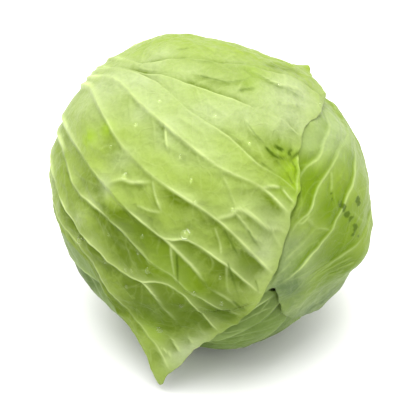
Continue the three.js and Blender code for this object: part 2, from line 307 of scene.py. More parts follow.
# Wrapper leaves, laid over the inner head from the back one to the front one. Each grew from the
# stalk as one blade on a fan of ribs that stand out on its outer face. A leaf lies a step further out
# wherever an earlier leaf is under it, and is pressed flat where the head rests.
COVER_MARGIN = 3
COVER_RAMP = 22
COVER_ROWS = 15
RIB_FOOT = 0.16
LEAF_BASE = 2
LEAF_BASE_END = 0.2
UNEVEN_FROM = 0.1
UNEVEN_FULL = 0.5
EDGE_WAVE = 0.8
EDGE_WAVE_TURN = 2.6
EDGE_WAVE_RISE = 6
EDGE_RAGGED = 0.55
EDGE_RAGGED_RISE = 8
RAGGED_LONG = 16
RAGGED_SHORT = 6
RAGGED_SHORT_SHARE = 0.6
EDGE_TUCK = 2.0
EDGE_TUCK_FROM = 0.9
INSIDE_STEP = 4
PILLOW_FOOT = 5
FAN_SIDES = (1, 0.62, 0.3, 0, -0.3, -0.62, -1)
FAN_STEPS = 4
FAN_START = 12
FAN_BASE_SPREAD = 24
FAN_FLARE = 18
FAN_SHORTER = 0.2
SIDE_VEINS_FROM = 0.24
SIDE_VEINS_TO = 0.9
SIDE_VEIN_SLANT = (0.03, 0.13)
SIDE_VEIN_SHIFT = 0.03
SIDE_VEIN_BEND = 0.025
LEAF_LENGTH = 1.9
LENGTH_STEPS = 200
RIB_POINTS = 60
BASE_POINTS = 24
TRACED_POINTS = 6
CROSS_POINTS = 12
MANY_WAVES = 24
FEW_WAVES = 10

# Sizes of a line of veins: the ridge's height at its two ends and the foot that it falls away in, and, on
# its lower side, the depth of the pleat, the distance it falls in and the distance it comes back in. A
# depth under 0 puts the pleat on the upper side. Then the width of the coloured line, how strongly it
# takes the vein's colour, the deep green of its shady side, which is partly painted shade, and the dark
# green of a torn edge, which on creases and under an overlying leaf edge is painted shade.
Vein = namedtuple("Vein", "rib foot pleat fall reach line tint deep torn", defaults=(0,))
BASE_RIB = Vein(rib=(2.2, 0.4), foot=2.4, pleat=0.6, fall=3, reach=8, line=2.6, tint=0.7, deep=0.3)
BASE_STRETCH = 0.4
RIB_START = 0.35
CREST_ROUND = 0.4
LIT_FOOT = 1.5
SHADY_FOOT = 0.8
# Share of a vein's colour spread over its lit side: a painted highlight.
VEIN_PAINTED_HIGHLIGHT = 0.45
VEIN_PATCHY = 0.7
VEIN_PATCH_LENGTH = 22
LINE_START = (-0.25, 0.12)
LINE_END = (-0.12, 0.3)
FAINT_TINT = 0.4
FAINT_GAP = 9
NO_VEIN_NEAR = 99.0


def through(points, at):
    """Smooth curve through points: the Catmull-Rom cubic, its ends carried on straight, at places from 0."""
    held = np.concatenate([[2 * points[0] - points[1]], points, [2 * points[-1] - points[-2]]])
    start = np.clip(np.floor(at).astype(int), 0, len(points) - 2)
    t = (at - start).reshape((-1,) + (1,) * (points.ndim - 1))
    a, b, c, d = held[start], held[start + 1], held[start + 2], held[start + 3]
    return 0.5 * (2 * b + (c - a) * t + (2 * a - 5 * b + 4 * c - d) * t**2 + (3 * b - 3 * c + d - a) * t**3)


def vein_directions(vein, shares):
    """Unit directions along one vein at shares of its length."""
    corners = head_direction(*np.array(vein, float).T)
    places = np.linspace(0, len(corners) - 1, LENGTH_STEPS + 1)
    steps = np.linalg.norm(np.diff(through(corners, places), axis=0), axis=1)
    length = np.concatenate([[0], np.cumsum(steps)])
    made = through(corners, np.interp(shares * length[-1], length, places))
    return made / np.linalg.norm(made, axis=-1, keepdims=True)


def leaf_directions(veins, shares, columns):
    """Unit directions over a leaf: rows from base to edge, columns across it counted in veins."""
    made = through(np.array([vein_directions(vein, shares) for vein in veins]), columns)
    return (made / np.linalg.norm(made, axis=-1, keepdims=True)).transpose(1, 0, 2)


def leaf_cover(veins):
    """A function giving how far a leaf lies under a direction: 1 inside its outline, falling to 0 outside."""
    gaps = np.arange(len(veins) - 1)[:, None] + np.array([0, RIB_FOOT, 0.5, 1 - RIB_FOOT])
    grid = leaf_directions(veins, np.linspace(0, 1, COVER_ROWS + 1), np.append(gaps, len(veins) - 1))
    outline = np.concatenate([grid[:, 0], grid[-1], grid[::-1, -1], grid[0, ::-1]])
    centre = grid.reshape(-1, 3).sum(0)
    centre /= np.linalg.norm(centre)
    first = np.cross(centre, STEM)
    first /= np.linalg.norm(first)
    second = np.cross(centre, first)

    def bearing(directions):
        return np.arctan2(directions @ second, directions @ first)

    def angle(directions):
        return np.degrees(np.arccos(np.clip(directions @ centre, -1, 1)))

    turns, edges = bearing(outline), angle(outline)

    def cover(directions):
        order = np.argsort(turns)
        edge = np.interp(bearing(directions), turns[order], edges[order], period=2 * np.pi)
        return 1 - smooth(angle(directions) - edge - COVER_MARGIN, 0, COVER_RAMP)

    return cover


def vein_fan(midrib, spread, reach):
    """A regular fan of veins about a midrib, opening as a quarter sine and turning out at the edge."""
    along = np.linspace(0, 1, FAN_STEPS + 1)
    opened = FAN_BASE_SPREAD + (spread - FAN_BASE_SPREAD) * np.sin(np.pi / 2 * along) + FAN_FLARE * along**4
    fan = []
    for side in FAN_SIDES:
        end = reach * (1 - FAN_SHORTER * side**2)
        fan.append(np.stack([FAN_START + (end - FAN_START) * along, midrib + side * opened], axis=-1))
    return fan


def lay_leaf(veins, covers, raised, rows, per_gap, seed):
    """Grid of a leaf: directions, share from base to edge, columns, and the radius of the blade's middle.
    The edge is uneven: each column is cut short by waves, and lies closer to the leaf under it."""
    columns = np.arange(per_gap * (len(veins) - 1) + 1) / per_gap
    even = np.linspace(0, 1, rows + 1)[:, None]
    directions = leaf_directions(veins, even[:, 0], columns)
    length = np.linalg.norm(np.diff(directions, axis=0), axis=-1).sum(0) * INNER_WIDTH / 2
    margin = directions[-1] * INNER_WIDTH / 2
    cut = waves(margin, RAGGED_LONG, FEW_WAVES, seed)
    cut = cut + RAGGED_SHORT_SHARE * waves(margin, RAGGED_SHORT, FEW_WAVES, seed + 1)
    shares = even * (1 - (1 + EDGE_RAGGED * cut) / length * even**EDGE_RAGGED_RISE)
    step = np.clip(shares * rows, 0, rows - 1e-6)
    row, column = step.astype(int), np.arange(len(columns))
    part = (step - row)[..., None]
    directions = directions[row, column] * (1 - part) + directions[row + 1, column] * part
    directions /= np.linalg.norm(directions, axis=-1, keepdims=True)
    middle = inner_radius(directions) + LAYER_STEP + bumps(directions, raised)
    middle += sum(LAYER_STEP * cover(directions) for cover in covers)
    wave = EDGE_WAVE * even**EDGE_WAVE_RISE * (0.5 + 0.5 * np.sin(EDGE_WAVE_TURN * columns))
    middle += wave - EDGE_TUCK * smooth(even, EDGE_TUCK_FROM, 1)
    return {"directions": directions, "shares": even[:, 0], "middle": middle, "veins": veins}


def nearest_on(leaf, directions):
    """Row and column of the leaf's grid point nearest each direction."""
    flat = leaf["directions"].reshape(-1, 3)
    return np.unravel_index((flat @ directions.T).argmax(0), leaf["middle"].shape)


def line_on(leaf, directions):
    """The points in millimetres, on the blade's middle, of a line of directions over the leaf."""
    return directions * leaf["middle"][nearest_on(leaf, directions)][:, None]


def main_lines(leaf, sizes, strengths, rises):
    """The leaf's ribs as lines, from the stalk to the edge, each with its size, strength, and the
    shares that it rises between and fades over."""
    shares = np.linspace(0, 1, RIB_POINTS)
    return [
        (line_on(leaf, vein_directions(vein, shares)), size, strength, rise)
        for vein, size, strength, rise in zip(leaf["veins"][1:-1], sizes, strengths, rises)
    ]


def base_lines(leaf, size):
    """The first stretch of each rib, thick and pale where the leaf leaves the stalk."""
    shares = np.linspace(0, BASE_STRETCH, BASE_POINTS)
    return [(line_on(leaf, vein_directions(vein, shares)), size, 1.0, None) for vein in leaf["veins"][1:-1]]


def traced_lines(leaf, *sets):
    """Lines of each set's size over the leaf, through places in degrees from the stalk and round the stem."""
    made = []
    for places, size in sets:
        for place in places:
            shares = np.linspace(0, 1, TRACED_POINTS * len(place))
            made.append((line_on(leaf, vein_directions(place, shares)), size, 1.0, None))
    return made


def cross_lines(leaf, spacing, seed, size):
    """Side veins by rule: from each rib, every so many millimetres, one slants to the next rib and bends."""
    draw = np.random.default_rng(seed)
    rows, columns = (count - 1 for count in leaf["middle"].shape)
    per_gap = columns // (len(leaf["veins"]) - 1)
    count = int(leaf["middle"].mean() * LEAF_LENGTH / spacing)
    starts = np.linspace(SIDE_VEINS_FROM, SIDE_VEINS_TO, count)
    t = np.linspace(0, 1, CROSS_POINTS)
    made = []
    for gap in range(len(leaf["veins"]) - 1):
        for start in starts + draw.uniform(-SIDE_VEIN_SHIFT, SIDE_VEIN_SHIFT, count):
            slant, bend = draw.uniform(*SIDE_VEIN_SLANT), draw.uniform(-SIDE_VEIN_BEND, SIDE_VEIN_BEND)
            across = t if draw.random() < 0.5 else 1 - t
            row = np.clip((start + slant * t + bend * np.sin(2 * np.pi * t)) * rows, 0, rows).astype(int)
            column = ((gap + across) * per_gap).astype(int)
            line = leaf["directions"][row, column] * leaf["middle"][row, column][:, None]
            made.append((line, size, draw.uniform(0.5, 1), None))
    return made


def vein_relief(points, outward, lines):
    """Height over the blade's middle, distance to a vein, and masks of vein colour, deep green and dark
    green, from lines of veins. A vein is a sharp ridge, height * exp(-distance / foot), with a longer foot on
    its upper side than on its lower one, coloured as exp(-(distance / line)^2), and with a painted highlight
    spreading a little way over its upper, lit side. On its lower side the blade falls by the pleat's depth
    over the fall, and comes back as exp(-(distance - fall) / reach); that shady side is painted deep green,
    partly as painted shade."""
    ridge, pleat = np.zeros(len(points)), np.zeros(len(points))
    gap = np.full(len(points), NO_VEIN_NEAR)
    masks = {name: np.zeros(len(points)) for name in ("tint", "deep", "torn")}
    patchy = 1 + VEIN_PATCHY * waves(points, VEIN_PATCH_LENGTH, FEW_WAVES, 91)
    for line, size, strength, rise in lines:
        step = line[1:] - line[:-1]
        length = np.linalg.norm(step, axis=1) + 1e-9
        place = np.concatenate([[0], np.cumsum(length)])
        middle = line.mean(0)
        far = np.linalg.norm(line - middle, axis=1).max() + 3 * max(size.reach, size.foot)
        near = np.flatnonzero(np.linalg.norm(points - middle, axis=1) < far)
        offset = points[near, None] - line[None, :-1]
        t = np.clip((offset * step).sum(-1) / length**2, 0, 1)
        offset = offset - t[..., None] * step
        distance = np.linalg.norm(offset, axis=-1)
        pick = distance.argmin(1)
        rows = np.arange(len(near))
        distance = distance[rows, pick]
        side = (np.cross(step[pick], offset[rows, pick]) * outward[near]).sum(-1) * np.sign(size.pleat)
        share = (place[pick] + t[rows, pick] * length[pick]) / place[-1]
        if rise:
            grown = RIB_START + (1 - RIB_START) * smooth(share, rise[0], rise[1])
            grown *= strength * smooth(1 - share, 0, rise[2])
        else:
            grown = strength * smooth(share, *LINE_START) * smooth(1 - share, *LINE_END)
        rib = size.rib[0] + (size.rib[1] - size.rib[0]) * share
        foot = size.foot * np.where(side > 0, LIT_FOOT, SHADY_FOOT)
        crest = np.exp(-(np.hypot(distance, CREST_ROUND) - CREST_ROUND) / foot)
        stripe = np.exp(-((distance / size.line) ** 2))
        lit = (side > 0) * np.exp(-2 * distance / size.reach)
        back = np.exp(-np.maximum(distance - size.fall, 0) / size.reach)
        low = (side < 0) * smooth(distance, 0, size.fall) * back
        raised = grown * rib * crest
        ridge[near] = np.where(np.abs(ridge[near]) > np.abs(raised), ridge[near], raised)
        pleat[near] += grown * abs(size.pleat) * low
        gap[near] = np.minimum(gap[near], distance + FAINT_GAP * (1 - min(1, size.tint / FAINT_TINT)))
        # The lit-side spread of the vein colour is a painted highlight, and the deep green on the low side is
        # partly painted shade.
        tint = size.tint * np.maximum(stripe, VEIN_PAINTED_HIGHLIGHT * lit)
        for name, amount in (("tint", tint), ("deep", size.deep * low), ("torn", size.torn * stripe)):
            masks[name][near] = np.maximum(masks[name][near], grown * amount * patchy[near])
    return ridge - pleat, gap, masks


def lowest_nearby(grid, step):
    """Lowest value within a step of every step-th grid place, so that a coarser face stays under the grid."""
    held = np.pad(grid, step, mode="edge")
    windows = np.lib.stride_tricks.sliding_window_view(held, (2 * step + 1, 2 * step + 1))
    return windows[::step, ::step].min(axis=(2, 3))


def rim_of(index):
    """Vertex numbers round the four sides of a grid, from its first corner."""
    return np.concatenate([index[0, :-1], index[:-1, -1], index[-1, :0:-1], index[:0:-1, 0]])


def leaf_faces(rows, columns, step):
    """Faces of a leaf: a fine outer grid, an inner grid of every step-th place, and fans round the rim."""
    outer = np.arange(rows * columns).reshape(rows, columns)
    coarse = (rows // step + 1, columns // step + 1)
    inner = outer.size + np.arange(coarse[0] * coarse[1]).reshape(coarse)
    faces = grid_faces(outer) + np.array(grid_faces(inner))[:, ::-1].tolist()
    out_rim, in_rim = rim_of(outer), rim_of(inner)
    place = np.arange(len(out_rim))
    nearest = in_rim[((place + step // 2) // step) % len(in_rim)]
    out_next, in_next = np.roll(out_rim, -1), np.roll(nearest, -1)
    turn = np.flatnonzero(nearest != in_next)
    faces += np.stack([out_rim, nearest, out_next], axis=-1).tolist()
    faces += np.stack([out_next[turn], nearest[turn], in_next[turn]], axis=-1).tolist()
    return faces


def leaf_piece(name, leaf, lines, floor, pillow, uneven, creased, paint, material, node):
    """A wrapper leaf from its grid: outer face raised by ribs, pleats and unevenness, inner face under it."""
    directions, middle = leaf["directions"], leaf["middle"]
    flat = (directions * middle[..., None]).reshape(-1, 3)
    relief, gap, lined = vein_relief(flat, directions.reshape(-1, 3), lines)
    relief = (relief + pillow * (1 - np.exp(-(gap / PILLOW_FOOT) ** 2))).reshape(middle.shape)
    lined = {mask: value.reshape(middle.shape) for mask, value in lined.items()}
    share = leaf["shares"][:, None]
    grown = smooth(share, UNEVEN_FROM, UNEVEN_FULL)
    for length, height, seed in uneven:
        relief = relief + grown * height * waves(flat, length, MANY_WAVES, seed).reshape(middle.shape)
    for length, height, seed in creased:
        relief = relief - grown * height * np.abs(waves(flat, length, FEW_WAVES, seed)).reshape(middle.shape)
    stout = LEAF_BASE * (1 - smooth(share, 0, LEAF_BASE_END))
    outer = head_points(directions, middle + BLADE / 2 + stout + relief, floor)
    low = lowest_nearby(relief, INSIDE_STEP)
    at = (slice(None, None, INSIDE_STEP), slice(None, None, INSIDE_STEP))
    inner = head_points(directions[at], middle[at] + low - BLADE / 2, floor + BLADE)
    masks = paint(directions, share, lined)
    masks = {key: np.concatenate([value.ravel(), value[at].ravel()]) for key, value in masks.items()}
    points = np.concatenate([outer.reshape(-1, 3), inner.reshape(-1, 3)])
    leaf["outer"] = outer
    add_piece(name, points, leaf_faces(*middle.shape, INSIDE_STEP), masks, material, node)


# Back leaf: the first wrapper, round the far side of the head, mostly in shade.
# A pale green blade on a regular fan of ribs, grown from the stalk.
BACK_MIDRIB = 180
BACK_SPREAD = 70
BACK_REACH = 158
SHADED_RIB = Vein(rib=(0.9, 0.6), foot=2.4, pleat=1.0, fall=3, reach=10, line=1.0, tint=0.5, deep=0.5)
SHADED_SIDE_VEIN = Vein(
    rib=(0.35, 0.25), foot=1.6, pleat=0.3, fall=1.6, reach=5, line=0.7, tint=0.3, deep=0.15)
SHADED_SIDE_GAP = 16
SHADED_GRID = (160, 24)
SHADED_PILLOW = 0.4
RIB_RISE = (0.2, 0.5, 0.05)


def shaded_paint(directions, share, lined, shade=0.0):
    """Pale at the base and in broad drifts, deep beside the veins, partly as painted shade, darker all over
    by a given painted shade, brighter along the veins.
    """
    drift = waves(directions * INNER_WIDTH / 2, 60, 12, 31)
    return {
        "vein": lined["tint"],
        "pale": 0.6 * (1 - smooth(share, 0.1, 0.45)) + 0.15 * drift,
        "deep": shade + lined["deep"] + 0.2 * smooth(-drift, 0, 1),
        "lime": np.zeros(drift.shape),
        "mark": np.zeros(drift.shape),
    }


def shaded_lines(leaf, traced, side_gap, seed):
    """All veins of a shaded leaf: thick bases, even ribs, traced lines, and side veins so far apart."""
    ribs = len(leaf["veins"]) - 2
    lines = base_lines(leaf, BASE_RIB) + main_lines(leaf, [SHADED_RIB] * ribs, [1] * ribs, [RIB_RISE] * ribs)
    return lines + traced + cross_lines(leaf, side_gap, seed, SHADED_SIDE_VEIN)


def shaded_piece(name, leaf, lines, floor, seed, crease_seed, paint, node):
    """A shaded leaf, gently uneven over 32 and 9 mm and creased over 20 mm."""
    uneven, creased = [(32, 0.4, seed), (9, 0.12, seed + 1)], [(20, 0.3, crease_seed)]
    leaf_piece(name, leaf, lines, floor, SHADED_PILLOW, uneven, creased, paint,
               shaded_material, node)


# The leaves that lie in shade take darker, greyer colours than the front leaf's: painted shade.
shaded_material = leaf_material(
    "shaded_leaf_skin", (112, 134, 64), (146, 160, 106), (72, 93, 32), (136, 156, 50), (152, 170, 104), 0.1)
back_veins = vein_fan(BACK_MIDRIB, BACK_SPREAD, BACK_REACH)
back_leaf = lay_leaf(back_veins, [], [], *SHADED_GRID, 61)
back_lines = shaded_lines(back_leaf, [], SHADED_SIDE_GAP, 3)
shaded_piece("back_leaf", back_leaf, back_lines, LAYER_STEP, 41, 71, shaded_paint, "leaf_back")

# Top leaf: the second wrapper, over the top of the head and under the front and right leaves.
# Like the back leaf, a pale blade on a regular fan of ribs.
TOP_MIDRIB = 52
TOP_SPREAD = 66
TOP_REACH = 150
top_veins = vein_fan(TOP_MIDRIB, TOP_SPREAD, TOP_REACH)
back_cover = leaf_cover(back_veins)
top_leaf = lay_leaf(top_veins, [back_cover], [], *SHADED_GRID, 63)
top_lines = shaded_lines(top_leaf, [], SHADED_SIDE_GAP, 5)
shaded_piece("top_leaf", top_leaf, top_lines, LAYER_STEP, 43, 72, shaded_paint, "leaf_top")

# Under leaf: the wrapper that the head rests on, showing below the front leaf as a dark strip.
# Its ribs run close together there, and it is pressed flat where it touches the ground.
UNDER_SHADE = 0.5
UNDER_SIDE_GAP = 24
UNDER_GRID = (200, 36)
UNDER_VEINS = [
    [[12, -92], [35, -66], [70, -46], [100, -42], [130, -46], [164, -56]],
    [[12, -99], [45, -80], [80, -70], [112, -72], [140, -82], [171, -92]],
    [[12, -108], [50, -98], [90, -92], [124, -98], [148, -104], [172, -132]],
    [[12, -116], [50, -120], [90, -120], [124, -122], [146, -130], [168, -160]],
    [[12, -125], [50, -143], [90, -148], [124, -152], [146, -164], [160, -184]],
    [[12, -133], [45, -160], [80, -172], [110, -178], [134, -188], [150, -204]],
    [[12, -142], [35, -174], [65, -190], [95, -198], [120, -206], [138, -216]],
]
UNDER_STREAKS = [
    [[144, -97], [149, -102], [154, -108], [158, -118], [161, -136]],
    [[138, -101], [144, -107], [150, -114], [156, -136]],
    [[147, -94], [156, -96], [161, -102], [165, -116]],
    [[133, -103], [139, -111], [148, -122]],
    [[153, -90], [159, -89], [165, -90]],
]
UNDER_STREAK = Vein(rib=(0.4, 0.3), foot=0.9, pleat=0.3, fall=1.2, reach=4, line=0.8, tint=0.35, deep=0.3)


def under_paint(directions, share, lined):
    """The shaded leaf's colours, deeper all over as painted shade."""
    return shaded_paint(directions, share, lined, UNDER_SHADE)


top_cover = leaf_cover(top_veins)
under_leaf = lay_leaf(UNDER_VEINS, [back_cover, top_cover], [], *UNDER_GRID, 65)
under_streaks = traced_lines(under_leaf, (UNDER_STREAKS, UNDER_STREAK))
under_lines = shaded_lines(under_leaf, under_streaks, UNDER_SIDE_GAP, 7)
shaded_piece("under_leaf", under_leaf, under_lines, 0, 45, 73, under_paint, "leaf_under")

# Right leaf: a wrapper round the right side, with raised yellow-green ribs that fork, its blade
# bulging between them. It is grey-green with bloom low down, painted darker and greyer there as painted
# shade, and has a few small chewed spots, dark green.
RIGHT_VEINS = [
    [[12, 126], [35, 152], [70, 168], [105, 172], [130, 180], [148, 200]],
    [[12, 116], [45, 140], [85, 148], [120, 150], [145, 160], [159, 190], [160, 226]],
    [[12, 108], [60, 124], [100, 126], [130, 124], [152, 128], [170, 150], [171, 235], [166, 254]],
    [[12, 99], [60, 105], [100, 103], [120, 96], [134, 92], [155, 90], [166, 86], [174, 62], [176, -20],
     [168, -60]],
    [[12, 90], [60, 90], [100, 92], [120, 88], [133, 79], [140, 73], [149, 59], [157, 51], [160, 34],
     [166, -5], [158, -66]],
    [[12, 82], [45, 74], [85, 76], [118, 78], [130, 70], [138, 63], [142, 51], [153, 30], [161, -18],
     [151, -56]],
    [[12, 72], [40, 55], [80, 44], [115, 36], [138, 22], [150, -6], [145, -46]],
]
RIGHT_STRENGTHS = [0.3, 0.7, 1, 1, 0.9]
RIGHT_RISES = [(0.4, 0.56, 0.2), (0.5, 0.7, 0.2), (0.6, 0.74, 0.1), (0.62, 0.74, 0.3), (0.5, 0.62, 0.1)]
RIGHT_FORKS = [
    [[158, 51], [160, 44], [159, 37]],
    [[159, 51], [162, 63], [162, 73], [161, 88]],
    [[162, 64], [167, 49], [169, 25], [169, -5]],
    [[142, 73], [146, 74], [149, 74]],
]
RIGHT_STREAKS = [
    [[154, 143], [164, 152], [170, 180]],
    [[159, 132], [168, 138], [176, 161]],
    [[156, 137], [166, 146], [173, 172]],
    [[157, 150], [165, 160], [168, 188]],
]
# Line along the front leaf's edge where it lies over this leaf: a low groove painted dark, a painted shadow
# of that edge.
RIGHT_EDGE_SHADOW_LINES = [
    [[147, 45.5], [151.8, 41], [153.6, 37.5], [156.3, 32], [162.6, 18], [167.7, -13], [168, -41], [167, -54]],
]
RIGHT_FLOOR = 2
RIGHT_GRID = (280, 44)
RIGHT_SIDE_GAP = 15
RIGHT_PILLOW = 0.8
RIGHT_UNEVEN = [(26, 0.5, 47), (8, 0.12, 48)]
RIGHT_CREASED = [(15, 0.35, 74), (7, 0.16, 77)]
RIGHT_RIB = Vein(rib=(0.7, 0.5), foot=1.2, pleat=0.5, fall=2.5, reach=7, line=0.8, tint=0.65, deep=0.6)
RIGHT_FORK = Vein(rib=(0.6, 0.4), foot=1.0, pleat=0.3, fall=2, reach=6, line=0.9, tint=0.55, deep=0.4)
RIGHT_SIDE_VEIN = Vein(rib=(0.25, 0.2), foot=1.5, pleat=0.2, fall=1.5, reach=4, line=0.6, tint=0.2, deep=0.1)
# A low groove with a painted shadow along it.
RIGHT_GROOVE_AND_SHADOW = Vein(rib=(-0.4, -0.4), foot=0.9, pleat=0, fall=1, reach=2, line=0.9, tint=0, deep=0, torn=0.6)
RIGHT_STREAK = Vein(rib=(0.3, 0.2), foot=1.0, pleat=0.3, fall=1.0, reach=2, line=0.6, tint=0.25, deep=0.3)
RIGHT_SPOTS = [
    (151, 76, 0.8, 1.0), (149, 74, 0.7, 0.8), (151, 85, 1.1, 1.4), (151.5, 91, 1.1, 1.3), (152, 98, 1, 1.4),
    (152, 105, 0.9, 1.4), (152, 113, 1, 1.3), (154, 116, 0.8, 1.1), (152, 123, 0.9, 1.3),
    (145, 100, 0.9, 1.3), (146, 104, 0.8, 1.1),
]


def right_paint(directions, share, lined):
    """Yellow-green ribs, fresh green between them and on each rib's shady side, there partly painted shade,
    pale with bloom at the top, grey-green and darker low down as painted shade, and dark green at the chewed
    spots and, as painted shade, in a few more spots low down."""
    ahead = smooth(-directions @ STEM, 0.5, 0.85)
    # Painted shade: the leaf is painted darker and greyer towards the bottom, most away from the stalk.
    low = smooth(-directions[..., 2], 0.0, 0.55) * (0.2 + 0.8 * ahead)
    grain = waves(directions * INNER_WIDTH / 2, 3, 12, 34)
    spots = smooth(bumps(directions, RIGHT_SPOTS) * (1 + 0.7 * grain), 0.38, 0.7)
    pale = [(118, 72, 0.7, 16), (126, 88, 0.4, 11), (132, 70, 0.4, 6), (166, 10, 0.5, 9), (176, 0, 0.6, 9),
            (171, -60, 0.35, 9), (133, 57, 0.5, 5)]
    deep = [(168, 8, 0.35, 10), (174, -40, 0.35, 10), (171, -80, 0.3, 8), (130, 80, 0.2, 12),
            (169, 93, 0.35, 8), (174, -125, 0.4, 7)]
    lime = [(151, 54, 0.5, 6), (146, 47, 0.8, 6), (150, 74, 0.3, 6), (156, 72, 0.5, 5), (152, 84, 0.4, 5),
            (152, 104, 0.5, 6), (143, 54, 0.6, 4), (158, 98, 0.5, 6), (161, 124, 0.4, 6), (161, 147, 0.7, 8)]
    # Spots low down painted darker in the dark olive: painted shade.
    shaded = [(161, 147, 0.35, 9), (170, 104, 0.2, 7)]
    # The shady side of each rib takes the dark lime green, partly as painted shade.
    return {
        "vein": lined["tint"],
        "pale": 0.9 * smooth(-directions[..., 2], 0.15, 0.5) * (0.2 + 0.8 * ahead) + bumps(directions, pale),
        "deep": 0.75 * low + bumps(directions, deep),
        "lime": lined["deep"] * (1 - 0.6 * low) + bumps(directions, lime),
        "mark": lined["torn"] + 0.85 * spots + bumps(directions, shaded),
    }


right_material = leaf_material(
    "side_leaf_skin", (112, 134, 24), (152, 167, 114), (82, 101, 58), (92, 118, 0), (163, 181, 108), 0.15)
under_cover = leaf_cover(UNDER_VEINS)
right_leaf = lay_leaf(RIGHT_VEINS, [back_cover, top_cover, under_cover], [], *RIGHT_GRID, 67)
right_lines = base_lines(right_leaf, BASE_RIB)
right_lines += main_lines(right_leaf, [RIGHT_RIB] * 5, RIGHT_STRENGTHS, RIGHT_RISES)
right_lines += traced_lines(
    right_leaf, (RIGHT_FORKS, RIGHT_FORK), (RIGHT_STREAKS, RIGHT_STREAK), (RIGHT_EDGE_SHADOW_LINES, RIGHT_GROOVE_AND_SHADOW))
right_lines += cross_lines(right_leaf, RIGHT_SIDE_GAP, 9, RIGHT_SIDE_VEIN)
leaf_piece("right_leaf", right_leaf, right_lines, RIGHT_FLOOR, RIGHT_PILLOW, RIGHT_UNEVEN, RIGHT_CREASED,
           right_paint, right_material, "leaf_right")

# Front leaf: the outermost wrapper, spread over the whole front of the head. Its ribs fan out from
# the stalk, each with the blade dropping away below it in a soft pleat, and fork towards the edge.
# The lower corner and the upper right corner stand off the head, and the right edge is torn.
FRONT_VEINS = [
    [[12, 34], [30, 44], [48, 56], [68, 70], [85, 90]],
    [[12, 29], [40, 31], [60, 42], [80, 57], [97, 84]],
    [[12, 24], [40, 16], [67, 18], [76, 24], [88, 36], [97, 49], [104, 64], [112, 79]],
    [[12, 16], [49, 9], [72, 15], [81, 19], [94, 24], [107, 30], [117, 38], [124, 47], [131, 54]],
    [[12, 9], [45, 6], [80, 16], [104, 17], [122, 22], [134, 25], [143, 34], [150, 43]],
    [[12, 3], [45, 2], [70, 8], [87, 7], [110, 8], [128, 11], [142, 21], [156, 32]],
    [[12, -6], [43, -3], [60, -1], [82, -6], [97, -9], [113, -10], [139, -8], [154, -12], [168, -30]],
    [[12, -15], [44, -20], [70, -21], [89, -23], [104, -25], [126, -29], [135, -25], [150, -29], [165, -64]],
    [[12, -20], [40, -27], [67, -29], [81, -34], [105, -34], [120, -39], [133, -46], [147, -60], [156, -84]],
    [[12, -26], [40, -38], [63, -41], [77, -43], [97, -49], [118, -55], [127, -52], [138, -56], [144, -94]],
    [[12, -33], [50, -49], [80, -51], [98, -58], [109, -71], [120, -88], [122, -101]],
    [[12, -40], [45, -55], [70, -54], [88, -57], [99, -66], [107, -80], [115, -93], [116, -104]],
]
FRONT_STRENGTHS = [0.4, 0.8, 1, 0.9, 0.8, 1, 1, 0.8, 1, 0.6]
FRONT_TIP = (116, -104, 23, 11)
FRONT_CORNER = (85, 90, 7, 6)
FRONT_SHOULDER = (101, 82, 4, 12)
FRONT_FLOOR = 1.5
FRONT_GRID = (256, 32)
FRONT_SIDE_GAP = 12
FRONT_PILLOW = 0.3
FRONT_UNEVEN = [(30, 0.5, 51), (8, 0.1, 52)]
FRONT_CREASED = [(15, 0.6, 75), (7, 0.22, 76)]
FRONT_FORKS = [
    [[139, -8], [142, -1], [142, 3], [145, 6], [154, 10], [157, 17], [161, 22]],
    [[142, 21], [143, 26], [145, 31]],
    [[126, -29], [132, -32], [141, -39], [148, -49], [153, -57], [155, -66]],
    [[120, -55], [125, -60], [131, -71], [133, -77]],
]
FRONT_SIDE_VEINS = [
    [[143, 1], [150, -1], [153, -3], [156, -1], [159, -4]],
    [[132, 9], [136, 7], [142, 3]],
    [[156, 11], [159, 10], [163, 8]],
    [[146, 32], [149, 34], [152, 37]],
    [[141, -13], [145, -19], [147, -26]],
    [[150, -31], [152, -46], [154, -53]],
    [[130, -32], [132, -39], [135, -52]],
    [[113, -12], [117, -16], [122, -20]],
    [[113, -23], [118, -22], [122, -20]],
    [[119, 32], [123, 31], [126, 32]],
    [[103, 6], [107, 3], [110, 1]],
    [[133, -79], [136, -81], [139, -90]],
    [[117, 51], [118, 56], [121, 62]],
    [[100, 48], [103, 50], [107, 54], [110, 63], [113, 67]],
    [[134, -83], [133, -89], [132, -95]],
    [[127, -86], [127, -90], [127, -95]],
    [[122, -90], [123, -92], [124, -95]],
    [[139, -80], [139, -86], [139, -90]],
]
FRONT_TEARS = [
    [[131.1, 32.7], [132.8, 33.5], [134.4, 34.5], [135.6, 36.4], [136.4, 39], [136.6, 41.5]],
    [[131.6, 37.6], [132.4, 38.8], [133.3, 40.2], [133.8, 41.4]],
    [[132.3, 38], [133.4, 39.4], [133.6, 40.6]],
    [[134.3, 45.6], [134.9, 43.6], [135.6, 42.6], [135.9, 44.2], [136.6, 42.4]],
    [[137.8, 41.6], [137.2, 44.2], [136.2, 47.8], [135, 50.4]],
    [[138.6, 43.6], [140.6, 44.2], [142.8, 43]],
]
FRONT_TORN_RIBS = [
    [[137.4, 47.6], [141.7, 45.6], [146, 42.8], [149.6, 39.9]],
]
FRONT_FOLDS = [
    [[97, -24], [101, -19], [106, -17], [113, -12]],
    [[105, -34], [111, -35], [116, -37], [123, -40], [125, -47]],
]
FRONT_SMUDGES = [
    [[107.9, 36.6], [108, 39.6], [108.8, 43]],
    [[98.6, 45.2], [99.6, 46], [101.2, 46.4]],
    [[95.6, 57.6], [96, 59], [96.6, 60.6]],
    [[76, 33], [76.6, 34.2], [77, 35.6]],
]
